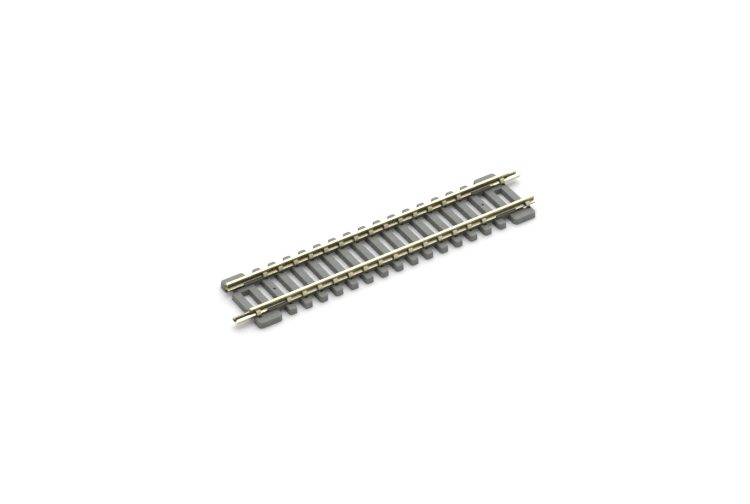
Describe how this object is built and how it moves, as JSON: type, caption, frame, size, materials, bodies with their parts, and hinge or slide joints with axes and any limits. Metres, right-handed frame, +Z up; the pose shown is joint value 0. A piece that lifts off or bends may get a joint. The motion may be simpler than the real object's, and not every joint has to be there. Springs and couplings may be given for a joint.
{
  "type": "model railway track section",
  "caption": "Straight model track section: two flat-bottomed metal rails held by moulded chairs on a plastic sleeper base, with a sliding rail joiner at one end of each rail.",
  "frame": {"origin": "middle of the underside of the sleeper base, under the tenth sleeper", "axes": "+X along the track to the end whose rear rail has a joiner, +Y across the track to the rear rail, +Z up out of the sleepers"},
  "size_m": [0.0794, 0.0172, 0.0031],
  "materials": {
    "sleeper_plastic": "fine matt moulded plastic, dark weathered grey",
    "rail_metal": "drawn nickel silver, bright head, duller web",
    "joiner_metal": "bright folded nickel silver sheet"
  },
  "bodies": {
    "track": {"sleeper_base": "sleeper_plastic", "front_rail": "rail_metal", "rear_rail": "rail_metal"},
    "front_left_joiner": {"front_left_joiner": "joiner_metal"},
    "rear_right_joiner": {"rear_right_joiner": "joiner_metal"}
  },
  "joints": [
    {"name": "front_left_joiner_slide", "type": "slide", "parent": "track", "child": "front_left_joiner", "axis": [-1, 0, 0], "range_m": [-0.0004, 0.0033]},
    {"name": "rear_right_joiner_slide", "type": "slide", "parent": "track", "child": "rear_right_joiner", "axis": [1, 0, 0], "range_m": [-0.0006, 0.0044]}
  ]
}
